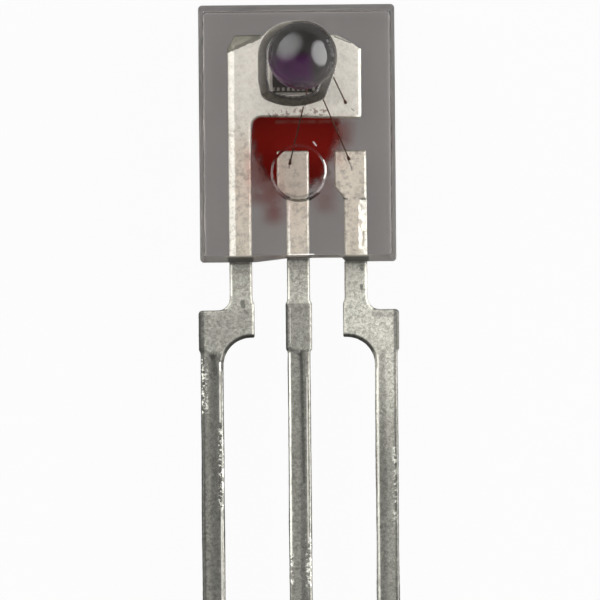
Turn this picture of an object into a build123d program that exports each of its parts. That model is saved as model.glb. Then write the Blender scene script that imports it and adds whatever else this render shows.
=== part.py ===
from build123d import *
import math
import os

# Side-looking photodetector: a light-sensing chip on a stamped lead frame, cast with its bond
# wires into one block of see-through grey epoxy, whose front carries the lens.
# The origin is the centre of the rear face. Z points out through the lens, the three leads run
# along -Y, and every length is in millimetres.

# Moulded package, measured across the parting line at the front of the leads
body_width = 4.5
body_height = 5.9
rear_depth = 0.7  # rear face to the back of the leads
front_depth = 0.9  # front of the leads to the front face
side_draft = 0.1  # how far each long side leans in from the parting line to a face
end_draft = 0.15  # the same for the two ends
body_corner = 0.09
face_edge = 0.04  # rounding round the front face

# Lens: a half ball on a flared foot, which is squarer and bellied towards the leads
lens_from_top = 1.215  # centre of the ball below the top of the package
lens_right = 0.11  # and right of the package's centre line
lens_radius = 0.82
foot_half_width = 0.89
foot_above = 0.81  # top of the foot above the centre of the ball
foot_left_end = 0.55  # end of the straight left side below the centre of the ball
foot_right_end = 0.3
foot_low_left = 0.95  # low corners below the centre of the ball
foot_low_right = 0.97
foot_left_taper = 0.08  # how far the low corners lie in from the sides
foot_right_taper = 0.27
foot_below = 1.25  # tip of the belly below the centre of the ball
foot_tip_left = 0.05  # and left of it
foot_height = 0.3
foot_flare = 0.2  # how far the foot's wall leans in over its height
foot_high_corner = 0.8  # roundings of the outline at the foot's root
foot_left_corner = 0.4
foot_right_corner = 0.5
foot_low_corner = 0.24
foot_belly_share = 0.78  # how much of the shorter low side the belly's rounding takes
widest_corner = 0.95  # the most that a corner may take of half the foot's width

# Ejector-pin mark on the front face
pin_mark_radius = 0.64
pin_mark_from_bottom = 2.04
pin_mark_right = 0.025
pin_mark_depth = 0.038
pin_mark_slope = 0.055  # width of its leaning wall

# Ink dot in a shallow seat in the rear face
ink_radius = 1.06
ink_from_bottom = 2.61
ink_thickness = 0.03

# Lead frame
lead_width = 0.52
lead_thickness = 0.4
inner_pitch = 1.32  # between leads inside the package
outer_pitch = 2.0  # between the straight tails
tail_length = 12.7  # package to the ends of the tails
edge_roll = 0.035  # bevel that stamping leaves round the front of the leads
coin_width = 0.16  # wider bevel pressed along the outer edges inside the package
coin_depth = 0.042
right_coin_width = 0.2  # the same below the right lead's bond pad
middle_coin_width = 0.09  # the same on the left of the middle lead
middle_coin_depth = 0.025

# Die pad, which is part of the left lead
pad_from_top = 0.7
pad_length = 1.87
pad_reach = 1.475  # right edge from the package's centre line
left_cut_width = 0.16  # cut corner at the top left, across
left_cut_height = 0.3  # and down
right_cut_width = 0.54
right_cut_height = 0.32
pad_droop = 0.06  # how much lower the bottom edge is at the right
pad_inner_corner = 0.25
pad_outer_corner = 0.08
facet_width = 0.3  # sloping facet pressed over the top left corner
facet_depth = 0.11
facet_drop = 0.33  # crease at the left edge below the pad's top
facet_run = 0.85  # crease across and up from there
facet_rise = 0.4

# Bond pads at the tops of the other two leads
bond_gap = 0.785  # below the die pad
bond_length = 0.85
bond_extra = 0.21  # how far a bond pad is wider than its lead, on the left
bond_taper = 0.25

# Formed part of the leads below the package, as distances below it
stub_start = 0.93  # top of the trimmed tie bar
stub_end = 2.02
stub_proud = 0.04
shoulder_top = 1.1
shoulder_fillet = 0.28
shoulder_corner = 0.07
tip_bottom = 1.73
tip_arc_radius = 0.64

# Chip, its glue and its bond wires
die_size = 1.15
die_thickness = 0.25
die_below_lens = 0.235  # centre of the chip below the centre of the ball
die_offset = 0.02
glue_thickness = 0.02
glue_margin = 0.06
wire_diameter = 0.03
ball_radius = 0.045
ball_height = 0.03
wire_rise = 0.27  # guide point of the loop straight above the ball
shoulder_rise = 0.18  # guide point of the loop further along, above the chip
shoulder_share = 0.45  # where that is along the wire
loop_steps = 6  # straight runs in the loop, shorter towards the ball
loop_crowding = 1.6
wire_foot = 0.1  # length of the level foot on the lead
wire_lift = 0.004  # wire above the lead at its foot, where the pressed wedge fills the gap
wedge_half_width = 0.035
wedge_height = 0.02
ball_inset = 0.08  # ball from the chip's nearest edge
ground_ball_drop = 0.13  # ground wire's ball below the chip's top edge
output_ball_rise = 0.15  # output wire's ball above the chip's bottom edge
supply_ball_offset = 0.23  # supply wire's ball right of the chip's centre
ground_foot_in = 0.35  # ground wire's foot left of the die pad's right edge
ground_foot_up = 0.29  # and above its bottom edge
output_foot_left = 0.13  # output wire's foot left of its lead's centre line
output_foot_down = 0.22  # and below the top of its bond pad
supply_foot_left = 0.18
supply_foot_down = 0.31

# Levels and edges that follow from the sizes above
lead_back = rear_depth
lead_front = lead_back + lead_thickness
face_level = lead_front + front_depth
top_edge = body_height / 2
exit_edge = -body_height / 2
lens_y = top_edge - lens_from_top
tail_end = exit_edge - tail_length
pad_top = top_edge - pad_from_top
pad_bottom = pad_top - pad_length
pad_left = -inner_pitch - lead_width / 2
bond_top = pad_bottom - bond_gap
bond_end = bond_top - bond_length - bond_taper
glue_front = lead_front + glue_thickness
die_front = glue_front + die_thickness
die_y = lens_y - die_below_lens
ink_y = exit_edge + ink_from_bottom
pin_mark_y = exit_edge + pin_mark_from_bottom


def press_bevel(start, end, width, depth):
    """Slope the front surface down on the left of the line from start to end, by depth at width."""
    along = Vector(end[0] - start[0], end[1] - start[1], 0)
    outward = Vector(0, 0, 1).cross(along)
    bevel_plane = Plane(origin=(start[0], start[1], lead_front), x_dir=outward, z_dir=along)
    spare = 0.5  # how far the cutter passes the bevel on each side, as a share of its width
    with BuildSketch(bevel_plane) as cutter:
        Polygon(
            (-width * spare, depth * spare),
            (width * (1 + spare), -depth * (1 + spare)),
            (width * (1 + spare), depth * spare),
            align=None,
        )
    extrude(cutter.sketch, amount=along.length, mode=Mode.SUBTRACT)


def formed_tail(side, upper_end):
    """Draw an outer lead from upper_end down to its end, on the side given as -1 or 1."""
    neck_in = inner_pitch - lead_width / 2
    neck_out = inner_pitch + lead_width / 2
    tail_in = outer_pitch - lead_width / 2
    tail_out = outer_pitch + lead_width / 2
    arc_level = exit_edge - tip_bottom - tip_arc_radius
    arc_middle = (tail_in - tip_arc_radius, arc_level)
    reach = tip_arc_radius * math.sqrt(0.5)
    outline = [
        (neck_in - stub_proud, exit_edge - tip_bottom),
        (neck_in - stub_proud, exit_edge - stub_start),
        (neck_in, exit_edge - stub_start + stub_proud),
        (neck_in, upper_end),
        (neck_out, upper_end),
        (neck_out, exit_edge - shoulder_top),
        (tail_out + stub_proud, exit_edge - shoulder_top),
        (tail_out + stub_proud, exit_edge - stub_end),
        (tail_out, exit_edge - stub_end - stub_proud),
        (tail_out, tail_end),
        (tail_in, tail_end),
        (tail_in, arc_level),
    ]
    with BuildLine() as edge:
        Polyline(*[(side * x, y) for x, y in outline])
        ThreePointArc(
            (side * tail_in, arc_level),
            (side * (arc_middle[0] + reach), arc_level + reach),
            (side * arc_middle[0], exit_edge - tip_bottom),
        )
        Line(
            (side * arc_middle[0], exit_edge - tip_bottom),
            (side * (neck_in - stub_proud), exit_edge - tip_bottom),
        )
    make_face(edge.edges())


def round_corner(outline, x, y, radius):
    """Round the corner of an outline that lies nearest to x, y."""
    fillet(outline.vertices().sort_by_distance((x, y, 0))[0], radius)


def round_shoulder(outline, side):
    """Round the inner and outer corners of an outer lead's shoulder."""
    shoulder_level = exit_edge - shoulder_top
    neck_out = side * (inner_pitch + lead_width / 2)
    shoulder_out = side * (outer_pitch + lead_width / 2 + stub_proud)
    round_corner(outline, neck_out, shoulder_level, shoulder_fillet)
    round_corner(outline, shoulder_out, shoulder_level, shoulder_corner)


def bond_pad(centre):
    """Draw the wider top of a lead, with its taper on the left."""
    right = centre + lead_width / 2
    left = centre - lead_width / 2
    with BuildLine() as edge:
        Polyline(
            (right, bond_top),
            (left - bond_extra, bond_top),
            (left - bond_extra, bond_top - bond_length),
            (left, bond_end),
            (right, bond_end),
            close=True,
        )
    make_face(edge.edges())


# Left lead with the die pad that holds the chip
with BuildPart() as left_lead:
    with BuildSketch(Plane.XY.offset(lead_back)) as frame:
        formed_tail(-1, pad_bottom)
        with BuildLine():
            Polyline(
                (pad_left, pad_bottom),
                (pad_left, pad_top - left_cut_height),
                (pad_left + left_cut_width, pad_top),
                (pad_reach - right_cut_width, pad_top),
                (pad_reach, pad_top - right_cut_height),
                (pad_reach, pad_bottom - pad_droop),
                (pad_left + lead_width, pad_bottom),
                close=True,
            )
        make_face()
        round_shoulder(frame, -1)
        round_corner(frame, pad_left + lead_width, pad_bottom, pad_inner_corner)
        round_corner(frame, pad_reach, pad_bottom - pad_droop, pad_outer_corner)
    extrude(amount=lead_thickness)
    chamfer(left_lead.faces().sort_by(Axis.Z)[-1].edges(), edge_roll)
    stem_bevel_x = pad_left + coin_width
    press_bevel((stem_bevel_x, exit_edge), (stem_bevel_x, pad_top), coin_width, coin_depth)
    pad_bevel_x = pad_reach - coin_width
    press_bevel(
        (pad_bevel_x, pad_top), (pad_bevel_x, pad_bottom - pad_droop), coin_width, coin_depth
    )
    press_bevel(
        (pad_left, pad_top - facet_drop),
        (pad_left + facet_run, pad_top - facet_drop + facet_rise),
        facet_width,
        facet_depth,
    )
left_lead.part.label = "left_lead"

# Middle lead, straight, with trimmed tie bars on both sides
with BuildPart() as middle_lead:
    with BuildSketch(Plane.XY.offset(lead_back)):
        bond_pad(0)
        with Locations((0, bond_top - bond_length)):
            Rectangle(lead_width, bond_top - bond_length - tail_end, align=(Align.CENTER, Align.MAX))
        with Locations((0, exit_edge - stub_start)):
            Rectangle(
                lead_width + 2 * stub_proud, stub_end - stub_start, align=(Align.CENTER, Align.MAX)
            )
    extrude(amount=lead_thickness)
    chamfer(middle_lead.faces().sort_by(Axis.Z)[-1].edges(), edge_roll)
    bevel_x = middle_coin_width - lead_width / 2
    press_bevel((bevel_x, exit_edge), (bevel_x, bond_end), middle_coin_width, middle_coin_depth)
middle_lead.part.label = "middle_lead"

# Right lead, the mirror of the left one below the package
with BuildPart() as right_lead:
    with BuildSketch(Plane.XY.offset(lead_back)) as frame:
        formed_tail(1, bond_top - bond_length)
        bond_pad(inner_pitch)
        round_shoulder(frame, 1)
    extrude(amount=lead_thickness)
    chamfer(right_lead.faces().sort_by(Axis.Z)[-1].edges(), edge_roll)
    bevel_x = inner_pitch + lead_width / 2 - right_coin_width
    press_bevel((bevel_x, bond_end), (bevel_x, exit_edge), right_coin_width, coin_depth)
right_lead.part.label = "right_lead"

# Glue that squeezes out a little round the chip
with BuildPart() as die_glue:
    with BuildSketch(Plane.XY.offset(lead_front)):
        with Locations((die_offset, die_y)):
            glue_side = die_size + 2 * glue_margin
            RectangleRounded(glue_side, glue_side, glue_margin)
    extrude(amount=glue_thickness)
die_glue.part.label = "die_glue"

# Light-sensing chip
with BuildPart() as sensor_die:
    with BuildSketch(Plane.XY.offset(glue_front)):
        with Locations((die_offset, die_y)):
            Rectangle(die_size, die_size)
    extrude(amount=die_thickness)
sensor_die.part.label = "sensor_die"


def bond_wire(start, end):
    """A wire from its ball on the chip to its flat foot on a lead."""
    span = Vector(end[0] - start[0], end[1] - start[1], 0)
    loop_plane = Plane(
        origin=(start[0], start[1], die_front), x_dir=span, z_dir=span.cross(Vector(0, 0, 1))
    )
    drop = die_front - lead_front - wire_lift - wire_diameter / 2
    curve = Edge.make_bezier(
        (0, ball_height / 2, 0),
        (0, wire_rise, 0),
        (span.length * shoulder_share, shoulder_rise, 0),
        (span.length - wire_foot, -drop, 0),
    )
    corners = [curve @ (step / loop_steps) ** loop_crowding for step in range(loop_steps + 1)]
    with BuildPart() as wire:
        with BuildLine(loop_plane) as loop:
            Polyline(*[(corner.X, corner.Y) for corner in corners], (span.length, -drop))
        with BuildSketch(Plane(origin=loop.line @ 0, z_dir=loop.line % 0)):
            Circle(wire_diameter / 2)
        sweep(path=loop.line, transition=Transition.RIGHT)
        with Locations((start[0], start[1], die_front)):
            Cylinder(ball_radius, ball_height / 2, align=(Align.CENTER, Align.CENTER, Align.MIN))
        with Locations((start[0], start[1], die_front + ball_height / 2)):
            Cone(
                ball_radius,
                ball_radius / 2,
                ball_height / 2,
                align=(Align.CENTER, Align.CENTER, Align.MIN),
            )
        foot_plane = Plane(origin=(end[0], end[1], lead_front), x_dir=span, z_dir=(0, 0, 1))
        with BuildSketch(foot_plane):
            Ellipse(wire_foot / 2, wedge_half_width)
        extrude(amount=wedge_height)
    return wire.part


# Bond wires: one down to the die pad, one to each of the other leads
die_right = die_offset + die_size / 2
die_bottom = die_y - die_size / 2
ground_wire = bond_wire(
    (die_right - ball_inset, die_bottom + die_size - ground_ball_drop),
    (pad_reach - ground_foot_in, pad_bottom + ground_foot_up),
)
ground_wire.label = "ground_wire"
output_wire = bond_wire(
    (die_right - ball_inset, die_bottom + output_ball_rise),
    (inner_pitch - output_foot_left, bond_top - output_foot_down),
)
output_wire.label = "output_wire"
supply_wire = bond_wire(
    (die_offset + supply_ball_offset, die_bottom + ball_inset),
    (-supply_foot_left, bond_top - supply_foot_down),
)
supply_wire.label = "supply_wire"

# Ink dot that colour-codes the part, flush with the rear face
with BuildPart() as ink_dot:
    with BuildSketch(Plane.XY):
        with Locations((0, ink_y)):
            Circle(ink_radius)
    extrude(amount=ink_thickness)
ink_dot.part.label = "ink_dot"


def belly_radius():
    """The rounding at the tip of the lens foot, from the two low sides that meet there."""
    left = Vector(foot_left_taper - foot_half_width + foot_tip_left, foot_below - foot_low_left)
    right = Vector(foot_half_width - foot_right_taper + foot_tip_left, foot_below - foot_low_right)
    reach = foot_belly_share * min(left.length, right.length)
    return reach * math.tan(math.radians(left.get_angle(right) / 2))


def foot_outline(level, inset):
    """The rounded outline of the lens foot at a level, drawn in by inset all round."""
    high_corner = min(foot_high_corner, foot_half_width * widest_corner)
    corners = (
        (foot_half_width - foot_right_taper, -foot_low_right, foot_low_corner),
        (foot_half_width, -foot_right_end, foot_right_corner),
        (foot_half_width, foot_above, high_corner),
        (-foot_half_width, foot_above, high_corner),
        (-foot_half_width, -foot_left_end, foot_left_corner),
        (foot_left_taper - foot_half_width, -foot_low_left, foot_low_corner),
        (-foot_tip_left, -foot_below, belly_radius()),
    )
    with BuildSketch(Plane.XY.offset(level)) as outline:
        with Locations((lens_right, lens_y)):
            Polygon(*[(x, y) for x, y, radius in corners], align=None)
        if inset > 0:
            offset(amount=-inset, kind=Kind.INTERSECTION)
        for x, y, radius in corners:
            round_corner(outline, lens_right + x, lens_y + y, radius - inset)
    return outline.sketch


# Moulded package round all of them
with BuildPart() as package_body:
    with BuildSketch(Plane.XY) as rear_face:
        RectangleRounded(body_width - 2 * side_draft, body_height - 2 * end_draft, body_corner)
    with BuildSketch(Plane.XY.offset(lead_front)) as parting_line:
        RectangleRounded(body_width, body_height, body_corner)
    loft(sections=[rear_face.sketch, parting_line.sketch])
    with BuildSketch(Plane.XY.offset(face_level)) as front_face:
        RectangleRounded(body_width - 2 * side_draft, body_height - 2 * end_draft, body_corner)
    loft(sections=[parting_line.sketch, front_face.sketch])
    fillet(package_body.faces().sort_by(Axis.Z)[-1].edges(), face_edge)

    loft(sections=[foot_outline(face_level, 0), foot_outline(face_level + foot_height, foot_flare)])
    with Locations((lens_right, lens_y, face_level)):
        Sphere(lens_radius, arc_size1=0, align=(Align.CENTER, Align.CENTER, Align.MIN))

    with Locations((pin_mark_right, pin_mark_y, face_level)):
        Cone(
            pin_mark_radius - pin_mark_slope,
            pin_mark_radius,
            pin_mark_depth,
            align=(Align.CENTER, Align.CENTER, Align.MAX),
            mode=Mode.SUBTRACT,
        )
    for piece in (
        left_lead.part,
        middle_lead.part,
        right_lead.part,
        die_glue.part,
        sensor_die.part,
        ground_wire,
        output_wire,
        supply_wire,
        ink_dot.part,
    ):
        add(piece, mode=Mode.SUBTRACT)
package_body.part.label = "package_body"

os.makedirs("parts", exist_ok=True)
for piece in (
    package_body.part,
    left_lead.part,
    middle_lead.part,
    right_lead.part,
    sensor_die.part,
    die_glue.part,
    ground_wire,
    output_wire,
    supply_wire,
    ink_dot.part,
):
    export_step(piece, f"parts/{piece.label}.step")
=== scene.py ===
"""The looks of a side-looking photodetector: a grey see-through package with a lens, plated leads,
a sensor chip with its bond wires, and an ink dot on the rear face. Lengths are in millimetres
until they reach Blender, which works in metres."""

import math

import bmesh
import bpy
from mathutils import Matrix, Vector, geometry, noise


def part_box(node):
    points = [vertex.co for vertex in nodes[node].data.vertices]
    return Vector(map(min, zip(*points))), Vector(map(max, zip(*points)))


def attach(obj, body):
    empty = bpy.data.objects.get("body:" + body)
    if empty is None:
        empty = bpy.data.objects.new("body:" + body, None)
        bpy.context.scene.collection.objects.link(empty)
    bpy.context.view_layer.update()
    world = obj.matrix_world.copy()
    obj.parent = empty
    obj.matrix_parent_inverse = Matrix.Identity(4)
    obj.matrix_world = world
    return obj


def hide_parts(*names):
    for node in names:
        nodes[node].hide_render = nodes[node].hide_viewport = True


MM = 0.001
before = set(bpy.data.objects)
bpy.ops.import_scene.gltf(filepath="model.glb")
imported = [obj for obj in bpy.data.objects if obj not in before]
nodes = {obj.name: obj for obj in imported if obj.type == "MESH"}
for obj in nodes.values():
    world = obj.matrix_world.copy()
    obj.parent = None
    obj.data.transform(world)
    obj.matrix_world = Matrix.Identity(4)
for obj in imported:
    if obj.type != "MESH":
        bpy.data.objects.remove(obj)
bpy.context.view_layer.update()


def rgba(red, green, blue):
    return (red, green, blue, 1.0)


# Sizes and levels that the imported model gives
body_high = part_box("package_body")[1] / MM
lead_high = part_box("left_lead")[1] / MM
die_low, die_high = [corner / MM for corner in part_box("sensor_die")]
ink_low, ink_high = [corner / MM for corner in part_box("ink_dot")]
half_width = body_high.x
half_height = body_high.y
lead_front = lead_high.z

# Package, as the mould made it
side_draft = 0.1
end_draft = 0.15
body_corner = 0.09
least_corner = 0.02
face_edge = 0.018
rear_edge = 0.02
lens_radius = 0.82
lens_y = half_height - 1.215
face_level = body_high.z - lens_radius
lens_x = 0.11
foot_height = 0.3
foot_flare = 0.2
foot_root = 0.015
foot_sunk = 0.2  # how far the foot reaches into the block
foot_edge = 0.05
foot_edge_share = 0.6  # how far in its rounding goes, for each step down
# Corners of the lens foot from the middle of its lens, anticlockwise, with their roundings
foot_corners = (
    (0.62, -0.97, 0.24),
    (0.89, -0.30, 0.5),
    (0.89, 0.81, 0.8),
    (-0.89, 0.81, 0.8),
    (-0.89, -0.55, 0.4),
    (-0.81, -0.95, 0.24),
    (-0.05, -1.25, 1.4),
)
# Flash trimmed short along the lower edge, between the leads: across, and up from the edge
trimmed_edge = ((-0.98, 0.0), (-0.62, 0.04), (-0.25, 0.085), (0.4, 0.09), (1.0, 0.09), (1.1, 0.0))
pin_mark_radius = 0.64
pin_mark_x = 0.025
pin_mark_y = -half_height + 2.04
pin_mark_depth = 0.038
pin_mark_slope = 0.055

# Leads
lead_voxel = 0.025  # size of the mesh that rounds their edges
exit_edge = -half_height
half_thickness = 0.2
tail_pitch = 2.0
tail_half = 0.26  # half a tail's width
tail_start = exit_edge - 2.05  # below the trimmed tie bars
outer_edge = 2.2  # past this the outer tails get painted shade along their edge
trimmed_high = 0.085  # how far the trimmed lower edge stands up at the middle lead
# The round cut in an outer lead's shoulder, and the edge that stamping rolled down along it
arc_radius = 0.64
arc_drop = 1.73
arc_centre = (tail_pitch - tail_half - arc_radius, exit_edge - arc_drop - arc_radius)
arc_roll_width = 0.1
arc_roll_depth = 0.07
# Unevenness: burrs all over, solder ripples outside the package, and more of them on the tails
burr = 0.004
ripple = 0.004
tail_ripple = 0.006

# Ink dot, a rounded square: the power of its outline, its depth in the rear face, its unevenness
blot_power = 4.0
ink_start = 0.004
ink_least = 0.985
ink_waver = 0.03

# Chip and bond wires
diode_centre = (0.05, 1.66)
diode_half = (0.15, 0.11)
diode_blur = 0.05
chip_pad_pitch = 0.115
inner_pitch = 1.32
wire_radius = 0.015
neck_height = 0.045  # where a wire's loop starts, over the chip
wire_rise = 0.27
shoulder_rise = 0.18
shoulder_share = 0.45
foot_length = 0.1
ball_inset = 0.08
# Squashed ball at a wire's start: height over the chip and radius
ball_profile = (
    (0.0, 0.03),
    (0.006, 0.042),
    (0.015, 0.046),
    (0.024, 0.042),
    (0.03, 0.03),
    (0.036, 0.019),
)
# Flattened foot at its end: how far along, half width and half height
foot_profile = (
    (0.02, 0.022, 0.012),
    (0.045, 0.033, 0.008),
    (0.08, 0.036, 0.006),
    (0.11, 0.024, 0.004),
)
wire_ends = {
    "ground_wire": ((die_high.x - ball_inset, die_high.y - 0.13), (1.125, 0.67)),
    "output_wire": ((die_high.x - ball_inset - 0.05, die_low.y + 0.15), (1.19, -0.625)),
    "supply_wire": ((0.25, die_low.y + ball_inset), (-0.18, -0.715)),
}

white = rgba(1, 1, 1)
# Epoxy: what its bulk absorbs, and tints of its surface for what is seen through it, most of them
# painted shade
epoxy_ior = 1.53
epoxy_grey = rgba(0.554, 0.446, 0.3985)
epoxy_density = 200.0
side_wall_shade_tint = rgba(0.42, 0.415, 0.4)
low_wall_shade_tint = rgba(0.45, 0.44, 0.41)
high_wall_shade_tint = rgba(0.36, 0.35, 0.33)
foot_tints = (rgba(0.74, 0.73, 0.65), rgba(1.0, 0.99, 0.9))
low_foot_shade_tints = (rgba(0.13, 0.124, 0.1), rgba(0.38, 0.36, 0.3))
lead_exit_shade_tint = rgba(0.0015, 0.0013, 0.001)
rim_shade_tint = rgba(0.04, 0.038, 0.035)
ring_shade_tint = rgba(0.06, 0.06, 0.05)
left_slope_shade_tint = rgba(0.35, 0.28, 0.27)
bled_tint = rgba(0.72, 0.42, 0.4)
painted_highlight_tint = rgba(1, 1, 0.96)
dimmed_mirror = rgba(0.15, 0.15, 0.15)  # how much its matt foot wall mirrors, and the face rim, ring and left slope, dimmed as painted shade

# Silver plate on the die pad, the stems and the bond pads, the marks on it, and painted shade
pad_silver = rgba(1.0, 1.0, 0.925)
stem_silver = rgba(0.92, 0.875, 0.76)
bond_silver = rgba(0.97, 0.93, 0.81)
# Darker silver over the middle bond pad
darker_silver = rgba(0.72, 0.67, 0.58)
bevel_silver = rgba(0.98, 0.985, 0.91)
corner_shade_silver = rgba(0.21, 0.213, 0.18)
spot_grey = rgba(0.36, 0.35, 0.31)
smudge_grey = rgba(0.38, 0.36, 0.3)
crumb_brown = rgba(0.2, 0.1, 0.08)
scratch_black = rgba(0.02, 0.018, 0.015)
# Two corners of the bond pads, of the die pad's right bevel, whose highlight is dimmed as painted
# shade, and of the ink crumbs' patch
middle_pad = ((-0.6, -1.47), (0.4, 0.0))
right_pad = ((0.9, -1.45), (1.7, 0.0))
shaded_bevel = ((1.1, 0.4), (1.41, 2.3))
crumbed = ((-0.55, 0.38), (0.7, 0.56))
# The crease across the die pad's upper left corner, past which the plate gets painted shade
crease_point = (-1.70, 1.80)
crease_normal = (-0.382, 0.924)
crease_waver = 0.04

# Tin outside the package; its black serves stains and painted shade, its glint painted highlights
tin_dark = rgba(0.25, 0.245, 0.212)
tin_bright = rgba(0.7, 0.69, 0.61)
tin_cloud = rgba(0.4, 0.38, 0.33)
tin_stain_and_shade_black = rgba(0.02, 0.02, 0.018)
tin_glint = rgba(0.9, 0.89, 0.8)
tin_bead = rgba(0.72, 0.72, 0.65)

# Chip, wires, glue and ink
circuit_darks = (rgba(0.012, 0.01, 0.01), rgba(0.035, 0.03, 0.028))
diode_violets = (rgba(0.045, 0.004, 0.055), rgba(0.08, 0.01, 0.09))
chip_pad_metal = rgba(0.22, 0.21, 0.185)
# Gold far darker than real gold: painted shade for the dark surroundings the wires mirror
shaded_wire_gold = (0.13, 0.075, 0.055)
glue_silver = (0.7, 0.68, 0.64)
ink_red = rgba(0.3, 0.016, 0.011)
# The ink's thin rim is a lighter mauve, partly thin ink and partly painted light against the ink's
# shadow
ink_rim = rgba(0.55, 0.24, 0.22)
ink_scraped = rgba(0.34, 0.12, 0.1)
scraped_ink = ((-0.5, 0.24), (1.0, 0.31))

# Darker bands along the tails: the lead's centre line, the band's two sides and its blur
tail_bands = (
    (-tail_pitch, -0.05, 0.15, 0.08),
    (0.0, 0.0, 0.14, 0.05),
    (tail_pitch, -0.18, -0.02, 0.08),
)
# Scratches and stains: start, end, half width and strength
plate_marks = (
    ((0.88, 2.2), (1.24, 2.05), 0.012, 0.8),
    ((1.31, 2.09), (1.36, 2.0), 0.015, 0.8),
    ((1.36, 2.0), (1.44, 1.94), 0.012, 0.8),
    ((-0.18, -0.6), (-0.19, -0.8), 0.014, 0.7),
    ((1.14, -0.58), (1.2, -0.7), 0.012, 0.7),
    ((1.2, -0.7), (1.25, -0.84), 0.014, 0.6),
    ((1.06, -0.57), (1.12, -0.66), 0.01, 0.5),
    ((1.03, -1.5), (1.13, -1.52), 0.02, 0.7),
    ((-0.65, 0.45), (-0.6, 0.38), 0.012, 0.6),
    ((1.25, 0.55), (1.3, 0.5), 0.012, 0.5),
)
# Dark marks on the tin, stains and also painted shade along edges, under the arcs and in a jog's
# corner: start, end, half width and strength
tin_stains_and_shade = (
    ((-1.29, -3.86), (-1.27, -3.96), 0.05, 0.65),
    ((-1.2, -4.1), (-1.25, -4.05), 0.03, 0.4),
    ((1.44, -3.06), (1.46, -3.12), 0.045, 0.55),
    ((1.44, -3.5), (1.45, -3.58), 0.035, 0.6),
    ((-0.285, -3.95), (-0.285, -4.95), 0.04, 0.8),
    ((-2.24, -4.94), (-1.98, -5.1), 0.05, 0.5),
    ((-1.98, -5.1), (-1.92, -5.5), 0.05, 0.35),
    ((-0.22, -4.95), (0.02, -5.06), 0.045, 0.5),
    ((0.02, -5.06), (0.06, -5.5), 0.04, 0.3),
    ((-2.27, -4.1), (-2.27, -4.95), 0.03, 0.7),
    ((2.26, -4.1), (2.26, -4.95), 0.025, 0.6),
    ((-2.22, -4.04), (-1.65, -4.04), 0.02, 0.6),
    ((1.7, -4.04), (2.22, -4.04), 0.02, 0.6),
    ((1.75, -4.14), (2.15, -4.14), 0.09, 0.3),
    ((-1.8, -5.2), (-1.85, -9.0), 0.03, 0.4),
    ((0.05, -5.0), (0.09, -8.0), 0.03, 0.5),
    ((-0.27, -5.1), (-0.27, -9.6), 0.018, 0.6),
    ((0.26, -5.6), (0.26, -9.6), 0.02, 0.5),
    ((1.73, -5.1), (1.73, -15.6), 0.018, 0.6),
    ((-1.74, -5.2), (-1.74, -15.6), 0.02, 0.5),
)
# Painted highlights: bright lines where solder rounds the leads' edges
tin_glints = (
    ((-0.215, -5.05), (-0.215, -9.6), 0.021, 0.85),
    ((0.175, -5.6), (0.175, -9.4), 0.014, 0.6),
    ((1.8, -5.1), (1.8, -15.6), 0.019, 0.65),
    ((-1.82, -5.25), (-1.82, -6.6), 0.02, 0.7),
    ((-1.81, -8.6), (-1.81, -15.6), 0.018, 0.65),
    ((-1.54, -3.02), (-1.54, -3.7), 0.019, 0.8),
    ((-0.225, -3.1), (-0.225, -3.78), 0.019, 0.8),
    ((-0.2, -4.0), (-0.2, -4.8), 0.01, 0.4),
)
# Edges where the solder stands in beads: two corners each
beaded_edges = (
    ((-2.26, -6.4), (-2.1, -5.15)),
    ((-1.86, -8.6), (-1.74, -6.7)),
    ((-0.26, -10.4), (-0.17, -8.4)),
    ((0.12, -10.4), (0.26, -9.2)),
    ((2.12, -9.0), (2.2, -7.2)),
)
# Painted highlights on the front face, white strokes: start, end, half width and strength
face_painted_highlights = (
    ((0.37, -0.22), (0.43, -0.3), 0.017, 0.25),
    ((-0.2, -2.79), (0.36, -2.78), 0.01, 0.7),
    ((0.6, -0.64), (0.64, -0.76), 0.014, 0.9),
    ((0.64, -0.76), (0.645, -0.92), 0.02, 0.95),
    ((0.645, -0.92), (0.61, -1.04), 0.014, 0.9),
)
# Faint ink in the resin below the dot: two corners and strength
bled_ink = (
    ((-0.75, -2.05), (-0.35, -1.2), 0.9),
    ((0.4, -1.8), (0.85, -1.0), 0.6),
    ((-1.1, -1.6), (-0.4, -0.6), 0.8),
    ((0.8, -0.3), (1.25, 0.3), 0.9),
    ((-1.15, -1.15), (-0.55, -0.3), 1.0),
    ((0.8, -0.8), (1.05, -0.1), 0.75),
)

# Photograph's view: the camera looks straight down on the package and the upper part of the leads
camera_height = 200
view_half = 6.881
view_centre = (0.031, -3.823)
view_turn = -0.5

# Light: what the camera, mirrored rays and rays through the package see of a white floor, the
# world's level and its level overhead, where the camera is
floor_grey = rgba(0.22, 0.22, 0.22)
floor_seen = 0.96
floor_mirrored = 0.02
floor_through = 0.19
world_level = 0.35
overhead_level = 0.02
# Lamps: compass from +X, tilt off the vertical, size, radiance and where they start to fade
lamp_distance = 500
lamps = {
    "left_box": (141, 57, 1280, 2.9, 0.08),
    "right_box": (9, 68, 840, 5.0, 0.27),
}


def put(name, data):
    """Add an object to the scene."""
    made = bpy.data.objects.new(name, data)
    bpy.context.scene.collection.objects.link(made)
    return made


def mesh_object(name, verts, faces):
    """Make a mesh object from points in millimetres."""
    mesh = bpy.data.meshes.new(name)
    mesh.from_pydata([Vector(v) * MM for v in verts], [], faces)
    mesh.update()
    return put(name, mesh)


def on_circle(x, y, radius, angle):
    """The point at an angle on a circle round x, y."""
    return (x + radius * math.cos(angle), y + radius * math.sin(angle))


def quarter_round(radius, steps=6):
    """Steps round an edge, from its side to its end: how far below the end, and how far in."""
    turns = [math.radians(90) * step / steps for step in range(steps + 1)]
    return [(radius * (1 - math.sin(turn)), radius * (1 - math.cos(turn))) for turn in turns]


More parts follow.
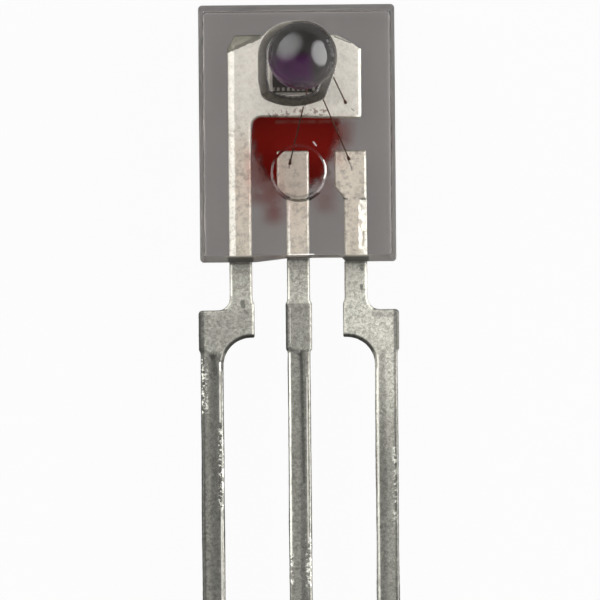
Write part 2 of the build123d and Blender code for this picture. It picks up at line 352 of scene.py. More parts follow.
def rounded_outline(low, high, corners, steps=10):
    """Points round a rectangle, anticlockwise from its lower right corner, with rounded corners."""
    points = []
    places = ((high[0], low[1]), (high[0], high[1]), (low[0], high[1]), (low[0], low[1]))
    for index, ((x, y), radius) in enumerate(zip(places, corners)):
        start = math.radians(90 * index - 90)
        centre_x = x - math.copysign(radius, x)
        centre_y = y - radius if y == high[1] else y + radius
        for step in range(steps + 1):
            angle = start + math.radians(90) * step / steps
            points.append(on_circle(centre_x, centre_y, radius, angle))
    return points


def skin(name, rings):
    """Skin rings of points, each anticlockwise as seen from the last one, into a closed mesh."""
    count = len(rings[0])
    verts = [point for ring in rings for point in ring]
    last = len(verts) - count
    faces = [tuple(reversed(range(count)))]
    for base in range(0, last, count):
        for index in range(count):
            low, across = base + index, base + (index + 1) % count
            faces.append((low, across, across + count, low + count))
    faces.append(tuple(range(last, last + count)))
    return mesh_object(name, verts, faces)


def loft(name, rows):
    """Skin rows of (level, outline) into a closed mesh."""
    return skin(name, [[(x, y, level) for x, y in outline] for level, outline in rows])


def block_section(level, share, inset):
    """The package's outline at a level: share is how much of the draft applies there."""
    x = half_width - side_draft * share - inset
    y = half_height - end_draft * share - inset
    radius = max(body_corner - inset, least_corner)
    lower_edge = [(at, up * (1 - share) - y) for at, up in trimmed_edge]
    return level, rounded_outline((-x, -y), (x, y), [radius] * 4) + lower_edge


def package_block():
    """The moulded block: two drafted halves that meet at the parting line."""
    rows = []
    for level, inset in reversed(quarter_round(rear_edge)):
        rows.append(block_section(level, 1 - level / lead_front, inset))
    rows.append(block_section(lead_front, 0, 0))
    for below, inset in quarter_round(face_edge):
        level = face_level - below
        share = (level - lead_front) / (face_level - lead_front)
        rows.append(block_section(level, share, inset))
    return loft("block", rows)


def inset_corner(before, corner, after, inset):
    """Where a corner lands when both of its sides move inwards by inset."""
    sides = []
    for start, end in ((before, corner), (corner, after)):
        along = (end - start).normalized()
        inward = Vector((-along.y, along.x))
        sides.append((start + inward * inset, end + inward * inset))
    return geometry.intersect_line_line_2d(
        sides[0][0], sides[0][1] * 2 - sides[0][0], sides[1][0] * 2 - sides[1][1], sides[1][1]
    )


def foot_section(level, inset, steps=14):
    """The lens foot's outline at a level, drawn in by inset all round."""
    count = len(foot_corners)
    places = [Vector(corner[:2]) for corner in foot_corners]
    moved = [
        inset_corner(places[i - 1], places[i], places[(i + 1) % count], inset) for i in range(count)
    ]
    outline = []
    for index, corner in enumerate(moved):
        radius = foot_corners[index][2] - inset
        back = (moved[index - 1] - corner).normalized()
        ahead = (moved[(index + 1) % count] - corner).normalized()
        half = math.acos(back.dot(ahead)) / 2
        centre = corner + (back + ahead).normalized() * (radius / math.sin(half))
        first = math.atan2(*reversed(corner + back * (radius / math.tan(half)) - centre))
        sweep = math.pi - 2 * half
        for step in range(steps + 1):
            angle = first + sweep * step / steps
            outline.append(on_circle(centre.x, lens_y + centre.y, radius, angle))
    return level, outline


def lens_foot():
    """The lens foot, with a small fillet at its root and a rounded top edge."""
    lean = foot_flare / foot_height
    rows = [foot_section(face_level - foot_sunk, -foot_root)]
    steps = 6
    for step in range(steps + 1):
        share = step / steps
        inset = foot_root * (share * lean - (1 - share) ** 2)
        rows.append(foot_section(face_level + foot_root * share, inset))
    for below, inset in quarter_round(foot_edge):
        level = face_level + foot_height - below
        rows.append(foot_section(level, (level - face_level) * lean + inset * foot_edge_share))
    return loft("foot", rows)


def lens_ball():
    """The ball of the lens."""
    bm = bmesh.new()
    bmesh.ops.create_uvsphere(bm, u_segments=160, v_segments=80, radius=lens_radius)
    bmesh.ops.translate(bm, verts=bm.verts, vec=(lens_x, lens_y, face_level))
    bmesh.ops.scale(bm, vec=(MM, MM, MM), verts=bm.verts)
    mesh = bpy.data.meshes.new("ball")
    bm.to_mesh(mesh)
    bm.free()
    return put("ball", mesh)


def pin_mark_cutter():
    """The shallow round mark that an ejector pin leaves in the front face."""
    steps = 96
    above = 0.1
    rows = []
    for level, radius in (
        (face_level - pin_mark_depth, pin_mark_radius - pin_mark_slope),
        (face_level, pin_mark_radius),
        (face_level + above, pin_mark_radius + above * pin_mark_slope / pin_mark_depth),
    ):
        rows.append((level, [
            on_circle(pin_mark_x, pin_mark_y, radius, math.tau * step / steps)
            for step in range(steps)
        ]))
    return loft("pin_mark", rows)


def combine(base, tool, operation):
    """Join or cut base with tool, and delete tool."""
    modifier = base.modifiers.new(operation, "BOOLEAN")
    modifier.object = tool
    modifier.operation = operation
    modifier.solver = "EXACT"
    bake_modifiers(base)
    bpy.data.objects.remove(tool)


def bake_modifiers(piece):
    """Replace a piece's mesh by what its modifiers make of it."""
    graph = bpy.context.evaluated_depsgraph_get()
    baked = bpy.data.meshes.new_from_object(piece.evaluated_get(graph))
    piece.modifiers.clear()
    piece.data = baked


def soften(piece, sharp_angle, flat_area):
    """Shade a piece smooth between sharp edges, but its large faces and its level ones flat."""
    level = 0.99999
    mesh = piece.data
    mesh.shade_smooth()
    mesh.set_sharp_from_angle(angle=math.radians(sharp_angle))
    for face in mesh.polygons:
        face.use_smooth = face.area < flat_area * MM * MM and face.normal.z < level


def make_package():
    """The see-through package, solid round all that is cast into it."""
    package = package_block()
    combine(package, lens_foot(), "UNION")
    combine(package, lens_ball(), "UNION")
    combine(package, pin_mark_cutter(), "DIFFERENCE")
    soften(package, sharp_angle=28, flat_area=0.2)
    package.name = package.data.name = "clear_package"
    finish_piece(package, "package_body", epoxy_material())


def make_lead(node, material):
    """A lead with the rounded, slightly uneven edges and faces of a stamped and tinned strip."""
    mesh = nodes[node].data.copy()
    mesh.transform(Matrix.Scale(1 / MM, 4))
    lead = put(node + "_metal", mesh)
    remesh = lead.modifiers.new("remesh", "REMESH")
    remesh.mode = "VOXEL"
    remesh.voxel_size = lead_voxel
    bake_modifiers(lead)
    outside = lead.vertex_groups.new(name="outside")
    outside.add([v.index for v in lead.data.vertices if v.co.y < exit_edge], 1.0, "REPLACE")
    for iterations, group in ((2, ""), (9, "outside")):
        smooth = lead.modifiers.new("smooth", "SMOOTH")
        smooth.factor = 0.5
        smooth.iterations = iterations
        smooth.vertex_group = group
    bake_modifiers(lead)
    roughen(lead.data)
    lead.data.transform(Matrix.Scale(MM, 4))
    lead.data.shade_smooth()
    lead.vertex_groups.clear()
    finish_piece(lead, node, material)


def edge_roll(place):
    """How far stamping rolls the front edge down at the round cut in an outer lead's shoulder."""
    from_arc = Vector((abs(place.x), place.y)) - Vector(arc_centre)
    if place.z < lead_front - half_thickness or from_arc.x < -0.5 or from_arc.y < -0.1:
        return 0.0
    share = 1 - (from_arc.length - arc_radius) / arc_roll_width
    return arc_roll_depth * min(max(share, 0.0), 1.0) ** 2


def roughen(mesh):
    """Push a lead's points in and out a little: fine burrs inside, solder ripples on the tails."""
    moved = []
    for place, normal in [(vertex.co.copy(), vertex.normal.copy()) for vertex in mesh.vertices]:
        push = noise.noise(place * 14.0) * burr - edge_roll(place)
        if place.y < exit_edge:
            along = Vector((place.x * 4.0, place.y * 0.5, place.z * 4.0))
            tail = min(max((tail_start - place.y) / 0.3, 0.0), 1.0)
            push += noise.fractal(along, 0.8, 2.0, 3) * (ripple + tail_ripple * tail)
        moved.extend(place + normal * push)
    mesh.vertices.foreach_set("co", moved)
    mesh.update()


def tube(name, points, halves, side, count=16):
    """Sweep an ellipse along points in a vertical plane; halves are its half width and height."""
    turns = [math.tau * step / count for step in range(count)]
    rings = []
    for index, (point, (half_across, half_up)) in enumerate(zip(points, halves)):
        ahead = points[min(index + 1, len(points) - 1)] - points[max(index - 1, 0)]
        up = ahead.cross(side).normalized()
        rings.append([
            point + side * (half_across * math.cos(turn)) + up * (half_up * math.sin(turn))
            for turn in turns
        ])
    return skin(name, rings)


def make_wire(node, start, end, material):
    """A bond wire: a squashed ball on the chip, a loop, and a flattened foot on its lead."""
    start = Vector((*start, die_high.z))
    level = lead_front + wire_radius
    foot = Vector((*end, level))
    span = Vector((foot.x - start.x, foot.y - start.y, 0))
    run = span.normalized()
    side = run.cross(Vector((0, 0, 1)))
    points = [start + Vector((0, 0, height)) for height, radius in ball_profile]
    halves = [(radius, radius) for height, radius in ball_profile]
    guides = (
        start + Vector((0, 0, neck_height)),
        start + Vector((0, 0, wire_rise)),
        start + span * shoulder_share + Vector((0, 0, shoulder_rise)),
        foot - run * foot_length,
    )
    loop = geometry.interpolate_bezier(*guides, 40)
    points += loop
    halves += [(wire_radius, wire_radius)] * len(loop)
    for ahead, half_across, half_up in foot_profile:
        points.append(foot + run * (ahead - foot_length) + Vector((0, 0, half_up - wire_radius)))
        halves.append((half_across, half_up))
    wire = tube(node + "_gold", points, halves, side)
    wire.data.shade_smooth()
    finish_piece(wire, node, material)


def make_ink(material):
    """The ink dot, just under the skin of the rear face, with a ragged rim."""
    count = 160
    centre = (ink_low + ink_high) / 2
    radius = (ink_high.x - ink_low.x) / 2
    outline = []
    for index in range(count):
        angle = math.tau * index / count
        across, up = math.cos(angle), math.sin(angle)
        square = (abs(across) ** blot_power + abs(up) ** blot_power) ** (-1 / blot_power)
        waver = ink_least + ink_waver * noise.noise(Vector((across * 3, up * 3, 0)))
        outline.append(on_circle(centre.x, centre.y, radius * square * waver, angle))
    rows = [(level, outline) for level in (ink_start, ink_high.z)]
    finish_piece(loft("ink_layer", rows), "ink_dot", material)


def finish_piece(piece, node, material):
    """Let a piece stand for a CAD node, with its finish."""
    piece.data.materials.clear()
    piece.data.materials.append(material)
    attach(piece, "root")
    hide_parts(node)


class Shader:
    """A material's node tree, with short calls to add and join nodes."""

    def __init__(self, name):
        self.material = bpy.data.materials.new(name)
        self.material.use_nodes = True
        self.tree = self.material.node_tree
        self.surface = self.tree.nodes["Principled BSDF"]
        self.output = self.tree.nodes["Material Output"]

    def feed(self, socket, value):
        """Join a socket to another one, or set its value."""
        if isinstance(value, bpy.types.NodeSocket):
            self.tree.links.new(value, socket)
        else:
            socket.default_value = value

    def add(self, kind, inputs=None, **settings):
        """Add a node, with its inputs by name or number."""
        node = self.tree.nodes.new("ShaderNode" + kind)
        for key, value in settings.items():
            setattr(node, key, value)
        for key, value in (inputs or {}).items():
            self.feed(node.inputs[key], value)
        return node

    def set(self, **inputs):
        """Set the surface shader's sockets, named with underscores for spaces."""
        for key, value in inputs.items():
            self.feed(self.surface.inputs[key.replace("_", " ")], value)

    def place(self):
        """The point in the part's own frame, in millimetres."""
        coords = self.add("TexCoord").outputs["Object"]
        return self.add("VectorMath", {0: coords, "Scale": 1 / MM}, operation="SCALE").outputs[0]

    def axis(self, place, name):
        return self.add("SeparateXYZ", {0: place}).outputs[name]

    def math(self, operation, a, b=0.0, c=0.0):
        return self.add("Math", {0: a, 1: b, 2: c}, operation=operation).outputs[0]

    def times(self, first, *others):
        """The product of masks and shares."""
        for other in others:
            first = self.math("MULTIPLY", first, other)
        return first

    def most(self, first, *others):
        """The largest of masks."""
        for other in others:
            first = self.math("MAXIMUM", first, other)
        return first

    def apart(self, a, b):
        """How far two values are apart."""
        return self.math("ABSOLUTE", self.math("SUBTRACT", a, b))

    def vector(self, operation, a, b, output=0):
        return self.add("VectorMath", {0: a, 1: b}, operation=operation).outputs[output]

    def reach(self, x, y, centre):
        """The distance to a centre, seen from the front."""
        spot = self.add("CombineXYZ", {"X": x, "Y": y}).outputs[0]
        return self.vector("DISTANCE", spot, (*centre, 0), "Value")

    def ramp(self, value, low, high, out_low=0.0, out_high=1.0):
        """Smoothly map a value from low..high to out_low..out_high."""
        inputs = {
            "Value": value, "From Min": low, "From Max": high,
            "To Min": out_low, "To Max": out_high,
        }
        return self.add("MapRange", inputs, interpolation_type="SMOOTHSTEP").outputs[0]

    def noise(self, place, scale, detail, roughness=0.55, distortion=0.0):
        inputs = {
            "Vector": place, "Scale": scale, "Detail": detail,
            "Roughness": roughness, "Distortion": distortion,
        }
        return self.add("TexNoise", inputs).outputs["Fac"]

    def band(self, value, middle, half, blur, strength=1.0):
        """A mask where a value lies within half of middle."""
        return self.ramp(self.apart(value, middle), half - blur, half + blur, strength, 0)

    def patch(self, place, low, high, blur):
        """A mask over the rectangle from low to high, seen from the front."""
        sides = (("X", low[0], high[0]), ("Y", low[1], high[1]))
        return self.times(*[
            self.band(self.axis(place, name), (least + most) / 2, (most - least) / 2, blur)
            for name, least, most in sides
        ])

    def stroke(self, place, start, end, half):
        """A mask along a straight scratch from start to end, seen from the front."""
        span = (end[0] - start[0], end[1] - start[1], 0)
        away = self.vector("SUBTRACT", place, (*start, 0))
        away = self.vector("MULTIPLY", away, (1, 1, 0))
        along = self.vector("DOT_PRODUCT", away, span, "Value")
        whole = math.hypot(*span) ** 2
        along = self.add("MapRange", {"Value": along, "From Max": whole}).outputs[0]
        nearest = self.add("VectorMath", {0: span, "Scale": along}, operation="SCALE").outputs[0]
        reach = self.vector("DISTANCE", away, nearest, "Value")
        return self.ramp(reach, half * 0.5, half * 1.5, 1, 0)

    def mix(self, share, a, b):
        """A colour between a and b."""
        return self.add("Mix", {0: share, 6: a, 7: b}, data_type="RGBA").outputs[2]

    def cover(self, colour, layers):
        """A colour with others laid over it in turn, each given as a mask and a colour."""
        for mask, over in layers:
            colour = self.mix(mask, colour, over)
        return colour

    def bump(self, height, strength, distance):
        inputs = {"Height": height, "Strength": strength, "Distance": distance * MM}
        return self.add("Bump", inputs).outputs[0]


def pin_mark_masks(shader, x, y):
    """Masks for painted shade: the pin mark's ring, low down, and its slope, on the left."""
    reach = shader.reach(x, y, (pin_mark_x, pin_mark_y))
    ring = shader.band(reach, pin_mark_radius, 0.035, 0.01)
    inside = shader.band(reach, pin_mark_radius - 0.05, 0.06, 0.01, 0.6)
    low = shader.ramp(y, pin_mark_y - 0.48, pin_mark_y - 0.42, 1, 0)
    slope = shader.band(reach, pin_mark_radius - 0.03, 0.0425, 0.0075)
    left = shader.ramp(x, -0.4, -0.2, 1, 0)
    return shader.times(shader.most(ring, inside), low), shader.times(slope, left)


def epoxy_material():
    """Grey see-through epoxy: clear faces, walls left matt by the mould, a little ink bled in,
    painted shade and highlights.
    """
    shader = Shader("grey_epoxy")
    place = shader.place()
    x, y, z = [shader.axis(place, name) for name in "XYZ"]
    past_side = shader.math("SUBTRACT", shader.math("ABSOLUTE", x), half_width - side_draft)
    past_end = shader.math("SUBTRACT", shader.math("ABSOLUTE", y), half_height - end_draft)
    foot_top = face_level + foot_height
    foot_wall = shader.times(
        shader.ramp(z, face_level + 0.005, face_level + 0.015),
        shader.ramp(z, foot_top - 0.04, foot_top - 0.02, 1, 0),
    )
    wall = shader.most(shader.ramp(shader.most(past_side, past_end), -0.002, 0.002), foot_wall)
    low_end = end_draft - half_height
    side_wall = shader.ramp(past_side, -0.002, 0.004)
    low_wall = shader.ramp(y, low_end - 0.01, low_end + 0.02, 1, 0)
    high_wall = shader.ramp(y, -low_end - 0.02, -low_end + 0.01)
    # Painted shade along the face's side edges, broken up unevenly
    face_rim = shader.times(
        shader.ramp(shader.math("ABSOLUTE", past_side), 0.01, 0.03, 1, 0),
        shader.ramp(z, face_level - 0.12, face_level - 0.06),
    )
    rim_shade_waver = shader.ramp(shader.noise(place, 5.0, 3.0), 0.3, 0.65, 0.6, 0.95)
    ring, left_slope = pin_mark_masks(shader, x, y)
    scuffs = shader.ramp(shader.noise(place, 9.0, 4.0, 0.7), 0.35, 0.65)
    # The lens foot's wall: lighter and darker streaks at random, and painted shade on its lower
    # side
    low_foot = shader.ramp(y, lens_y - 0.9, lens_y - 0.6, 1, 0)
    foot_tint = shader.mix(
        low_foot, shader.mix(scuffs, *foot_tints), shader.mix(scuffs, *low_foot_shade_tints)
    )

    # Painted shade darkens the side, low and high walls
    layers = [
        (side_wall, side_wall_shade_tint),
        (foot_wall, foot_tint),
        (low_wall, low_wall_shade_tint),
        (high_wall, high_wall_shade_tint),
    ]
    # Painted shade, near black, where the leads leave the package
    for lead_x in (-inner_pitch, 0, inner_pitch):
        low, high = (lead_x - 0.3, exit_edge - 0.1), (lead_x + 0.3, exit_edge + 0.13)
        layers.append((shader.patch(place, low, high, 0.03), lead_exit_shade_tint))
    # Painted shade along the face rim, on the pin mark's ring low down and on its left slope
    layers += [
        (shader.times(face_rim, rim_shade_waver), rim_shade_tint),
        (ring, ring_shade_tint),
        (left_slope, left_slope_shade_tint),
    ]
    cloud = shader.ramp(shader.noise(place, 3.5, 4.0), 0.1, 0.55)
    for low, high, strength in bled_ink:
        bled = shader.times(shader.patch(place, low, high, 0.2), cloud, strength)
        layers.append((bled, bled_tint))
    # Painted highlights: white strokes where the face turns from clear to white
    highlighted = 0.0
    on_face = shader.ramp(z, face_level - 0.1, face_level - 0.06)
    for start, end, half, strength in face_painted_highlights:
        mark = shader.times(shader.stroke(place, start, end, half), strength, on_face)
        highlighted = shader.most(mark, highlighted)
    layers.append((highlighted, painted_highlight_tint))

    lens = shader.ramp(z, face_level + 0.01, face_level + 0.05)
    polish = shader.ramp(lens, 0, 1, 0.06, 0.08)
    waves = shader.noise(place, 1.6, 2.0)
    # The foot wall, and the painted shade on the rim, ring and left slope, mirror less
    matt = shader.most(left_slope, foot_wall, face_rim, ring)
    shader.set(
        Base_Color=shader.cover(white, layers),
        Roughness=shader.ramp(wall, 0, 1, polish, 0.45),
        IOR=epoxy_ior,
        Specular_Tint=shader.mix(matt, white, dimmed_mirror),
        Transmission_Weight=shader.math("SUBTRACT", 1.0, highlighted),
        Normal=shader.bump(waves, 0.25, 0.02),
    )
    absorb = shader.add("VolumeAbsorption", {"Color": epoxy_grey, "Density": epoxy_density})
    shader.feed(shader.output.inputs["Volume"], absorb.outputs[0])
    return shader.material


def silver_colour(shader, place, x, y, flat):
    """Silver plate inside the package, with its scratches, stains, and painted shade on its upper
    left corner.
    """
    silver = shader.mix(shader.ramp(y, -0.5, 0.6), stem_silver, pad_silver)
    silver = shader.cover(silver, [
        (shader.patch(place, *middle_pad, 0.03), darker_silver),
        (shader.patch(place, *right_pad, 0.1), bond_silver),
    ])
    silver = shader.mix(flat, bevel_silver, silver)
    from_crease = shader.vector("SUBTRACT", place, (*crease_point, 0))
    above_crease = shader.vector("DOT_PRODUCT", from_crease, (*crease_normal, 0), "Value")
    uneven = shader.noise(place, 7.0, 3.0)
    above_crease = shader.math("MULTIPLY_ADD", uneven, 2 * crease_waver, above_crease)
    above_crease = shader.math("SUBTRACT", above_crease, crease_waver)
    shaded_left_corner = shader.times(
        shader.ramp(above_crease, -0.01, 0.015), shader.ramp(x, -0.85, -0.75, 1, 0)
    )
    spots = shader.ramp(shader.noise(place, 17.0, 5.0, 0.8), 0.36, 0.68)
    smudges = shader.ramp(shader.noise(place, 7.0, 5.0, 0.75), 0.44, 0.66)
    crumbs = shader.ramp(shader.noise(place, 11.0, 3.0), 0.5, 0.58)
    layers = [
        (shaded_left_corner, corner_shade_silver),
        (shader.times(spots, 0.17), spot_grey),
        (shader.times(smudges, shader.ramp(y, -0.2, 0.6, 0.6, 0.2)), smudge_grey),
        (shader.times(crumbs, shader.patch(place, *crumbed, 0.05), 0.7), crumb_brown),
    ]
    for start, end, half, strength in plate_marks:
        mark = shader.times(shader.stroke(place, start, end, half), strength)
        layers.append((mark, scratch_black))
    return shader.cover(silver, layers)


def tin_colour(shader, place, x, y, level, grain, exit_level, tail):
    """Tin outside the package: stains and painted shade darken it, bright where solder stands and
    painted highlights fall.
    """
    cloud = shader.ramp(shader.noise(place, 1.6, 4.0), 0.3, 0.7)
    tin = shader.mix(shader.ramp(grain, 0.32, 0.68), tin_dark, tin_bright)
    tin = shader.mix(shader.times(cloud, 0.25), tin, tin_cloud)

    across = shader.math("ABSOLUTE", x)
    tied = shader.patch(place, (-0.4, tail_start), (0.4, exit_edge - 0.95), 0.03)
    jogged = shader.patch(place, (-2.5, tail_start), (-1.0, exit_edge - 1.1), 0.1)
    from_arc = shader.reach(across, y, arc_centre)
    # Painted shade under the round cut in each outer lead's shoulder
    shade_under_arc = shader.times(
        shader.ramp(from_arc, arc_radius + 0.06, arc_radius + 0.1, 1, 0),
        shader.ramp(y, arc_centre[1] + 0.1, arc_centre[1] + 0.4),
    )
    # Painted highlight on sloped edges, which come out brighter
    edges = shader.times(shader.ramp(level, 0.75, 0.97, 1, 0), shader.ramp(level, 0.1, 0.3))
    # Each mask with what it leaves of the tin's brightness; under the arcs it is painted shade, on
    # sloped edges a painted highlight
    shades = [(tied, 0.52), (jogged, 0.75), (tail, 0.5), (shade_under_arc, 0.2), (edges, 1.3)]
    for lead_x, low, high, blur in tail_bands:
        low, high = (lead_x + low, -30), (lead_x + high, tail_start)
        shades.append((shader.patch(place, low, high, blur), 0.6))
    for start, end, half, strength in tin_stains_and_shade:
        shades.append((shader.stroke(place, start, end, half), 1 - strength))
    # Painted shade: the tin darker towards the left
    kept = shader.ramp(x, -2.3, 2.3, 0.72, 1.0)
    for mask, left in shades:
        kept = shader.times(kept, shader.ramp(mask, 0, 1, 1.0, left))
    # Painted shade along the outer edges and just below the package
    rim = shader.ramp(across, outer_edge - 0.05, outer_edge, 1.0, 0.35)
    below_exit_shade = shader.ramp(shader.math("SUBTRACT", exit_level, y), 0.0, 0.1, 0.25, 1.0)
    tin = shader.mix(shader.times(kept, rim, below_exit_shade), tin_stain_and_shade_black, tin)

    broken = shader.ramp(shader.noise(place, 4.0, 3.0), 0.3, 0.5, 0.5, 1.0)
    beads = shader.ramp(shader.noise(place, 16.0, 2.0, 0.6), 0.5, 0.62)
    beads = shader.times(beads, shader.ramp(level, 0.3, 0.6))
    layers = []
    for start, end, half, strength in tin_glints:
        glint = shader.times(shader.stroke(place, start, end, half), strength, broken)
        layers.append((glint, tin_glint))
    for low, high in beaded_edges:
        layers.append((shader.times(shader.patch(place, low, high, 0.04), beads), tin_bead))
    return shader.cover(tin, layers)


def lead_material():
    """Silver plate inside the package, dull tinned metal outside it."""
    shader = Shader("plated_lead")
    place = shader.place()
    x, y = shader.axis(place, "X"), shader.axis(place, "Y")
    in_middle = shader.ramp(shader.math("ABSOLUTE", x), 0.4, 0.45, 1, 0)
    exit_level = shader.math("MULTIPLY_ADD", in_middle, trimmed_high, exit_edge)
    inside = shader.ramp(shader.math("SUBTRACT", y, exit_level), -0.01, 0.01)
    grain = shader.noise(place, 15.0, 4.0, 0.8, 0.6)
    # How level the surface is, a little uneven: 1 where it faces the camera
    level = shader.axis(shader.add("NewGeometry").outputs["Normal"], "Z")
    level = shader.math("MULTIPLY_ADD", shader.noise(place, 9.0, 3.0), 0.016, level)
    flat = shader.ramp(level, 0.988, 0.996)
    # Painted shade: the die pad's right bevel takes the flat plate's colour and finish
    flat = shader.most(flat, shader.patch(place, *shaded_bevel, 0.012))
    ragged = shader.math("MULTIPLY_ADD", shader.noise(place, 3.0, 3.0), 0.5, -0.25)
    tail = shader.add("MapRange", {
        "Value": shader.math("ADD", y, ragged),
        "From Min": shader.ramp(x, 1.0, 1.5, tail_start - 0.1, tail_start - 3.0),
        "From Max": tail_start + 0.05,
        "To Min": 1.0,
        "To Max": 0.0,
    }).outputs[0]
    silver = silver_colour(shader, place, x, y, flat)
    tin = tin_colour(shader, place, x, y, level, grain, exit_level, tail)
    silver_metal = shader.ramp(flat, 0, 1, 1.0, 0.12)
    silver_roughness = shader.ramp(flat, 0, 1, 0.42, 0.62)
    tin_roughness = shader.ramp(tail, 0, 1, 0.5, 0.4)
    shader.set(
        Base_Color=shader.mix(inside, tin, silver),
        Metallic=shader.ramp(inside, 0, 1, 0.6, silver_metal),
        Roughness=shader.ramp(inside, 0, 1, tin_roughness, silver_roughness),
        Normal=shader.bump(grain, 0.5, 0.007),
    )
    return shader.material


def die_material():
    """Near-black circuit with a violet photodiode at its middle and a row of bond pads."""
    shader = Shader("sensor_silicon")
    place = shader.place()
    x, y = shader.axis(place, "X"), shader.axis(place, "Y")
    in_x = shader.band(x, diode_centre[0], diode_half[0], diode_blur)
    in_y = shader.band(y, diode_centre[1], diode_half[1], diode_blur)
    grain = shader.noise(place, 60.0, 3.0)
    dark = shader.mix(grain, *circuit_darks)
    # Shifted so that the count of pitches is positive all over the chip
    shifted = shader.math("ADD", x, 10.0)
    step = shader.math("FRACT", shader.math("MULTIPLY", shifted, 1 / chip_pad_pitch))
    column = shader.ramp(step, 0.5, 0.54, 1, 0)
    row = shader.band(y, die_low.y + 0.075, 0.04, 0.005)
    dark = shader.mix(shader.times(column, row), dark, chip_pad_metal)
    violet = shader.mix(grain, *diode_violets)
    shader.set(Base_Color=shader.mix(shader.times(in_x, in_y), dark, violet), Roughness=0.35)
    return shader.material


def plain_material(name, colour, metallic, roughness):
    """One colour with a little grain."""
    shader = Shader(name)
    grain = shader.noise(shader.place(), 30.0, 3.0)
    shader.set(
        Base_Color=shader.mix(grain, rgba(*[part * 0.85 for part in colour]), rgba(*colour)),
        Metallic=metallic,
        Roughness=roughness,
    )
    return shader.material


def ink_material():
    """Red ink, thin and broken up at its rim, where its lighter mauve is partly painted light."""
    shader = Shader("red_ink")
    place = shader.place()
    x = shader.axis(place, "X")
    y = shader.math("SUBTRACT", shader.axis(place, "Y"), (ink_low.y + ink_high.y) / 2)
    powers = [shader.math("POWER", shader.math("ABSOLUTE", side), blot_power) for side in (x, y)]
    radius = shader.math("POWER", shader.math("ADD", *powers), 1 / blot_power)
    ragged = shader.math("MULTIPLY_ADD", shader.noise(place, 5.0, 5.0), 0.36, -0.18)
    fade_start = shader.math(
        "SUBTRACT", shader.ramp(y, -0.5, 0.35, 0.68, 0.96), shader.ramp(x, 0.2, 0.8, 0.0, 0.16)
    )
    past = shader.math("SUBTRACT", shader.math("ADD", radius, ragged), fade_start)
    cover = shader.ramp(past, 0.0, 0.3, 1, 0)
    streaks = shader.ramp(shader.noise(place, 6.0, 3.0), 0.3, 0.6, 0.2, 0.8)
    scraped = shader.times(shader.patch(place, *scraped_ink, 0.03), streaks)
    shader.set(
        Base_Color=shader.mix(scraped, shader.mix(cover, ink_rim, ink_red), ink_scraped),
        Roughness=0.6,
        Specular_IOR_Level=0.0,
        Alpha=cover,
    )
    return shader.material


def dress(node, material):
    """Give a CAD node one material all over."""
    mesh = nodes[node].data
    mesh.materials.clear()
    mesh.materials.append(material)


def make_floor():
    """A pale floor that the camera sees nearly white, with the part's shadow."""
    size = 400
    level = -0.02
    corners = [(x * size, y * size, level) for x, y in ((-1, -1), (1, -1), (1, 1), (-1, 1))]
    floor = mesh_object("floor", corners, [(0, 1, 2, 3)])
    shader = Shader("floor")
    shader.set(Base_Color=floor_grey, Roughness=0.9)
    path = shader.add("LightPath").outputs
    glowing = shader.most(
        shader.times(path["Is Camera Ray"], floor_seen),
        shader.times(path["Is Glossy Ray"], floor_mirrored),
        shader.times(path["Is Transmission Ray"], floor_through),
    )
    glow = shader.add("Emission", {"Color": white})
    mixed = shader.add("MixShader", {0: glowing, 1: shader.surface.outputs[0], 2: glow.outputs[0]})
    shader.feed(shader.output.inputs["Surface"], mixed.outputs[0])
    floor.data.materials.append(shader.material)


def make_world():
    """Soft light from all round, dimmer overhead where the camera is, and white to the camera."""
    world = bpy.data.worlds.new("studio")
    bpy.context.scene.world = world
    world.use_nodes = True
    tree = world.node_tree
    background = tree.nodes["Background"]
    height = tree.nodes.new("ShaderNodeSeparateXYZ")
    dimmer = tree.nodes.new("ShaderNodeMapRange")
    tree.links.new(tree.nodes.new("ShaderNodeTexCoord").outputs["Generated"], height.inputs[0])
    tree.links.new(height.outputs["Z"], dimmer.inputs["Value"])
    dimmer.inputs["From Min"].default_value = 0.9
    dimmer.inputs["From Max"].default_value = 0.98
    dimmer.inputs["To Min"].default_value = world_level
    dimmer.inputs["To Max"].default_value = overhead_level
    background.inputs["Color"].default_value = white
    tree.links.new(dimmer.outputs[0], background.inputs["Strength"])
    seen = tree.nodes.new("ShaderNodeBackground")
    path = tree.nodes.new("ShaderNodeLightPath")
    mixed = tree.nodes.new("ShaderNodeMixShader")
    tree.links.new(path.outputs["Is Camera Ray"], mixed.inputs[0])
    tree.links.new(background.outputs[0], mixed.inputs[1])
    tree.links.new(seen.outputs[0], mixed.inputs[2])
    seen.inputs["Color"].default_value = white
    tree.links.new(mixed.outputs[0], tree.nodes["World Output"].inputs["Surface"])


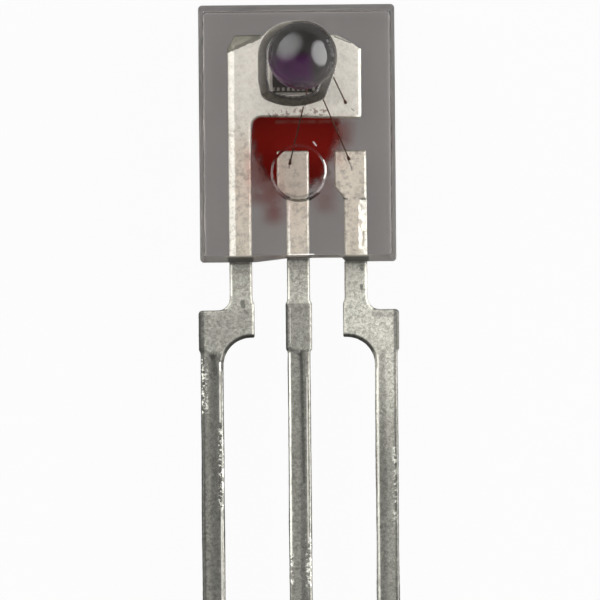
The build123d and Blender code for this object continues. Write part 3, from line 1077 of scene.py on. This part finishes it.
def softbox(name, compass, tilt, size, radiance, fade_start):
    """A round lamp that looks at the part. Its light fades out towards its edge."""
    edge = 0.5  # half the lamp's size, which is 1 in its own coordinates
    lamp = bpy.data.lights.new(name, "AREA")
    lamp.shape = "DISK"
    lamp.size = size * MM
    lamp.energy = math.pi * radiance * lamp.size ** 2
    lamp.use_nodes = True
    tree = lamp.node_tree
    from_middle = tree.nodes.new("ShaderNodeVectorMath")
    from_middle.operation = "DISTANCE"
    from_middle.inputs[1].default_value = (edge, edge, 0)
    fade = tree.nodes.new("ShaderNodeMapRange")
    fade.interpolation_type = "SMOOTHSTEP"
    fade.inputs["From Min"].default_value = fade_start
    fade.inputs["From Max"].default_value = edge
    fade.inputs["To Min"].default_value = 1.0
    fade.inputs["To Max"].default_value = 0.0
    spot = tree.nodes.new("ShaderNodeNewGeometry").outputs["Parametric"]
    tree.links.new(spot, from_middle.inputs[0])
    tree.links.new(from_middle.outputs["Value"], fade.inputs["Value"])
    tree.links.new(fade.outputs[0], tree.nodes["Emission"].inputs["Strength"])
    made = put(name, lamp)
    across = math.sin(math.radians(tilt))
    away = Vector((
        across * math.cos(math.radians(compass)),
        across * math.sin(math.radians(compass)),
        math.cos(math.radians(tilt)),
    ))
    made.location = away * lamp_distance * MM
    made.rotation_euler = away.to_track_quat("Z", "Y").to_euler()
    made.visible_camera = False


def make_camera():
    """The photograph's view, straight down on the front of the package."""
    camera = bpy.data.cameras.new("camera")
    camera.sensor_width = 36
    camera.lens = camera.sensor_width / 2 * camera_height / view_half
    camera.clip_start = 0.01
    made = put("camera", camera)
    made.location = Vector((*view_centre, lead_front + camera_height)) * MM
    made.rotation_euler = (0, 0, math.radians(view_turn))
    bpy.context.scene.camera = made


make_camera()
make_package()
plated = lead_material()
for name in ("left_lead", "middle_lead", "right_lead"):
    make_lead(name, plated)
dress("sensor_die", die_material())
dress("die_glue", plain_material("silver_glue", glue_silver, metallic=0.3, roughness=0.6))
gold = plain_material("bond_gold", shaded_wire_gold, metallic=1.0, roughness=0.35)
for name, (start, end) in wire_ends.items():
    make_wire(name, start, end, gold)
make_ink(ink_material())
make_floor()
make_world()
for name, settings in lamps.items():
    softbox(name, *settings)
bpy.context.scene.view_settings.view_transform = "Standard"
